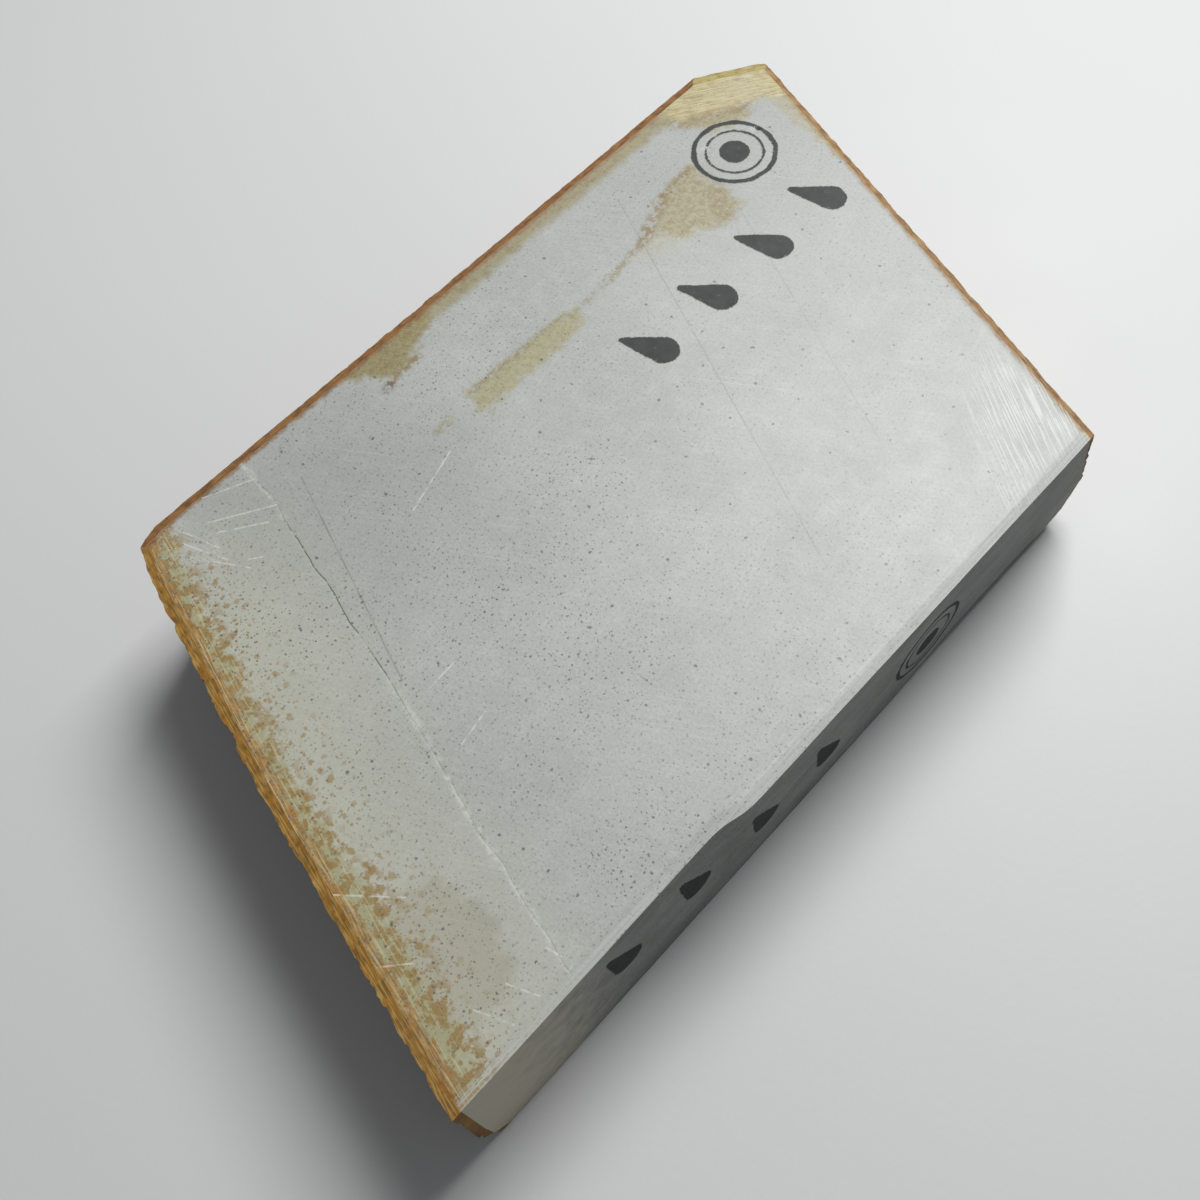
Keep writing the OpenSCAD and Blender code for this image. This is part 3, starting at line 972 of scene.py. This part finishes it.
def scratches(s):
    """Pale scratches and fine grinding lines, those at the front right corner strong enough to be a painted highlight
    of the sheen there as well. Gives the deep ones and the fine ones.
    """
    deep = s.most(*(s.line(start, end, 0.3) for start, end in SCRATCHES))
    deep = deep * s.rise(s.noise(2.0, 2, 0.5, shift=3), 0.3, 0.6)
    ground = s.rise(s.grooves(0.24, 58, 40, 1.0), 0.6, 0.76)
    crossing = s.rise(s.grooves(0.3, -12, 26, 5.0), 0.62, 0.78)
    # Pale scratches at the front right corner, made strong enough to be a painted highlight of the sheen there as well.
    rubbed_and_sheen = s.patch(RUBBED_AND_SHEEN_ZONE, soft=7.0, waver=12.0) * s.rise(s.grooves(0.34, -56, 12, 9.0), 0.44, 0.68)
    scuffed = s.patch(SCUFFED_ZONE, soft=2.0) * s.rise(s.grooves(0.24, -104, 6, 2.0), 0.44, 0.7)
    return deep, s.most(ground * 0.1, crossing * 0.08, rubbed_and_sheen * 0.46, scuffed * 0.24)


def front_edge(s):
    """The front edge's place along Y, as a straight line between its two corners."""
    a, b = RING[FRONT_LEFT] / MM, RING[FRONT_RIGHT] / MM
    slope = (b[1] - a[1]) / (b[0] - a[0])
    return s.x * float(slope) + float(a[1] - a[0] * slope)


def slate_surface(s):
    """Colour, roughness and bump height of the block's rock, which the ink lies on as well. Its colour darkens the sawn
    front with painted shade.
    """
    on_top = s.rise(s.facing[2], 0.6, 0.9) * s.rise(s.z, TOP / MM - 3, TOP / MM - 1.5)
    sawn = s.rise(s.facing[1], -0.6, -0.85)
    below = s.rise(s.facing[2], -0.5, -0.8)
    deep, fine = scratches(s)

    colour = single_stains(s, rock_colour(s), on_top)
    colour = left_stain(s, colour, on_top)
    colour = edge_stains(s, colour, on_top)
    colour = s.mix(dark_specks(s), colour, SPECK)
    broken = s.rise(s.noise(6, 2, 0.5, shift=7), 0.3, 0.6, 0.4, 1.0)
    for start, end, strength in HAIRLINES:
        colour = s.mix(s.line(start, end, 0.32) * broken * on_top * strength, colour, SPECK)
    colour = s.mix(s.most(deep * 0.6, fine) * on_top, colour, SCRATCH)
    colour = vein_colour(s, colour)
    band = s.rise(s.y - front_edge(s), BAND_WIDTH / MM + 0.2, BAND_WIDTH / MM - 0.3)
    band_lines = s.rise(s.grooves(0.3, 0, 30, 4.0), 0.42, 0.66, 0.15, 0.6)
    colour = s.mix(band * band_lines * on_top, colour, SLATE_LIGHT)
    saw_lines = s.noise(0.8, 2, 0.5, stretch=(0.05, 1.3, 1), shift=2)
    # Painted shade on the sawn front, which lies in shade: it is darkened towards dark grey everywhere by 30 to 55
    # percent. The uneven mottle within that share stands for grime.
    grime_and_painted_shade = s.rise(s.noise(13, 4, 0.65, stretch=(0.5, 1, 1), shift=23), 0.35, 0.65, 0.3, 0.55)
    colour = s.mix(sawn * grime_and_painted_shade, colour, linear(74, 74, 68))
    colour = s.mix(sawn * s.rise(saw_lines, 0.5, 0.72) * 0.3, colour, linear(60, 60, 56))
    colour = s.mix(sawn * s.rise(s.x + s.wander * 30, -76, -108) * 0.85, colour, linear(178, 172, 150))
    cleaved = s.rise(s.noise(16, 4, 0.6, stretch=(0.6, 1, 1), shift=1), 0.42, 0.62)
    colour = s.mix(below * cleaved * 0.6, colour, linear(128, 112, 84))

    dull = s.rise(s.from_edge(8), 22, 4) * on_top
    rough = s.noise(9, 3, 0.6, shift=6) * 0.08 + 0.43
    rough = rough + sawn * 0.2 + below * 0.3 + dull * 0.16
    grain = s.noise(0.45, 2, 0.65) * (0.35 + sawn * 0.5 + below * 1.6)
    height = grain + sawn * saw_lines * 0.5 + below * s.noise(3.5, 4, 0.7, shift=3) * 6
    return colour, rough, height


def slate_material():
    s = Shader("slate_rock", flat=True)
    return s.finish(*slate_surface(s), 0.05 * MM)


def ink_material():
    """Brush ink soaked into the slate: dense inside, broken by the grain at its edge."""
    s = Shader("soaked_ink", flat=True)
    colour, rough, height = slate_surface(s)
    edge = Term(s, s.node("ShaderNodeAttribute", attribute_name="edge_mm").outputs["Fac"])
    grain = s.noise(0.5, 3, 0.7, shift=2)
    solid = s.rise(edge + (grain - 0.5) * 0.7, 0.0, 0.25)
    worn = s.rise(s.noise(1.3, 4, 0.7, shift=5), 0.24, 0.38, 0.75, 1.0)
    dense = s.mix(s.noise(3, 2, 0.5), linear(16, 17, 17), linear(46, 47, 46))
    inked = solid * worn
    colour = s.mix(inked, colour, dense)
    return s.finish(colour, rough + inked * 0.12, height, 0.05 * MM, specular=0.3)


def rind_material(rind, fresh, rusty, dark):
    """A weathered split face: layered rusty stain over bare rock, with a scratched rim on the honing face."""
    s = Shader(f"{rind}_crust")
    layers = s.noise(7, 4, 0.6, stretch=(0.35, 0.35, 1.5), shift=2)
    colour = s.mix(s.rise(layers, 0.38, 0.6), fresh, rusty)
    colour = s.mix(s.rise(s.noise(5, 5, 0.65, shift=8), 0.5, 0.68) * 0.85, colour, dark)
    bare = s.rise(s.noise(17, 4, 0.6, stretch=(0.7, 0.7, 1.4), shift=5), 0.53, 0.66)
    colour = s.mix(bare * 0.7, colour, SLATE_DEEP)
    crust = s.noise(0.9, 4, 0.7, shift=1)
    colour = s.mix(s.rise(crust, 0.52, 0.75) * 0.5, colour, dark)
    on_rim = s.rise(s.facing[2], 0.5, 0.85) * s.rise(s.z, TOP / MM - 3, TOP / MM - 1.5)
    colour = s.mix(on_rim * 0.95, colour, worn_rim(s, rind))
    rough = 0.78 + s.noise(3, 2, 0.5) * 0.18
    height = s.noise(1.1, 4, 0.7, shift=4) + s.noise(4, 3, 0.6, stretch=(0.4, 0.4, 2), shift=6) * 1.6
    return s.finish(colour, rough, height * (1 - on_rim * 0.8), 0.32 * MM, specular=0.25)


RIND_LOOKS = {
    "rind_left_end": (linear(140, 106, 56), linear(124, 88, 44), linear(84, 60, 34)),
    "rind_back": (linear(126, 90, 50), linear(106, 70, 36), linear(62, 42, 26)),
    "rind_right_end": (linear(146, 122, 96), linear(128, 92, 56), linear(86, 60, 42)),
    "rind_pointed_corner": (linear(150, 138, 90), linear(136, 112, 64), linear(98, 74, 40)),
}


def floor_material():
    s = Shader("pale_floor", flat=True)
    colour = s.mix(s.noise(400, 3, 0.5), linear(178, 179, 179), linear(184, 184, 183))
    return s.finish(colour, s.noise(60, 2, 0.5) * 0.1 + 0.45, s.noise(2, 2, 0.5), 0.02 * MM, specular=0.3)


# ---------------------------------------------------------------- the stone


def dressed(piece, material):
    piece.data.materials.append(material)
    return piece


skin = Columns()
split_relief(skin)
slate = slate_material()
block = dressed(build_block(skin), slate)
for rind, ends in RINDS.items():
    dressed(build_rind(skin, rind, ends), rind_material(rind, *RIND_LOOKS[rind]))

visible = BVHTree.FromPolygons([v.co for v in block.data.vertices], [p.vertices for p in block.data.polygons])
ink = ink_material()
for mark in ("ink_ring_top", "ink_dabs_top"):
    dressed(build_ink(mark, 2, 1, visible), ink)
for mark in ("ink_ring_front", "ink_dabs_front"):
    dressed(build_ink(mark, 1, -1, visible), ink)


# ---------------------------------------------------------------- floor, light and camera


def make_floor():
    half = 3.0
    mesh = bpy.data.meshes.new("floor")
    corners = [(-half, -half, 0), (half, -half, 0), (half, half, 0), (-half, half, 0)]
    mesh.from_pydata(corners, [], [(0, 1, 2, 3)])
    floor = bpy.data.objects.new("floor", mesh)
    bpy.context.scene.collection.objects.link(floor)
    dressed(floor, floor_material())


def make_light(name, azimuth, elevation, distance, size, watts):
    """A square soft box that looks at the middle of the stone. Azimuth runs from +X towards +Y."""
    data = bpy.data.lights.new(name, "AREA")
    data.size = size
    data.energy = watts
    light = bpy.data.objects.new(name, data)
    a, e = math.radians(azimuth), math.radians(elevation)
    away = Vector((math.cos(a) * math.cos(e), math.sin(a) * math.cos(e), math.sin(e)))
    light.location = Vector((0, 0, TOP)) + away * distance
    light.rotation_mode = "QUATERNION"
    light.rotation_quaternion = away.to_track_quat("Z", "Y")
    bpy.context.scene.collection.objects.link(light)


def make_camera():
    """Stands over the front left of the stone and looks down along it."""
    data = bpy.data.cameras.new("camera")
    data.sensor_width = 36
    data.lens = 36.9
    data.clip_start = 0.01
    camera = bpy.data.objects.new("camera", data)
    forward = Vector((0.28954, 0.35864, -0.88744))
    right = Vector((0.68571, -0.72459, -0.06911))
    up = right.cross(forward)
    axes = Matrix((right, up, -forward)).transposed()
    camera.matrix_world = Matrix.Translation((-0.1012, -0.1085, 0.2655)) @ axes.to_4x4()
    bpy.context.scene.collection.objects.link(camera)
    bpy.context.scene.camera = camera


make_floor()
make_light("window", 12, 54, 1.1, 0.55, 18.5)
make_camera()

world = bpy.data.worlds.new("room")
world.use_nodes = True
world.node_tree.nodes["Background"].inputs["Color"].default_value = (0.86, 0.89, 0.93, 1)
world.node_tree.nodes["Background"].inputs["Strength"].default_value = 0.26
bpy.context.scene.world = world
bpy.context.scene.view_settings.view_transform = "Standard"
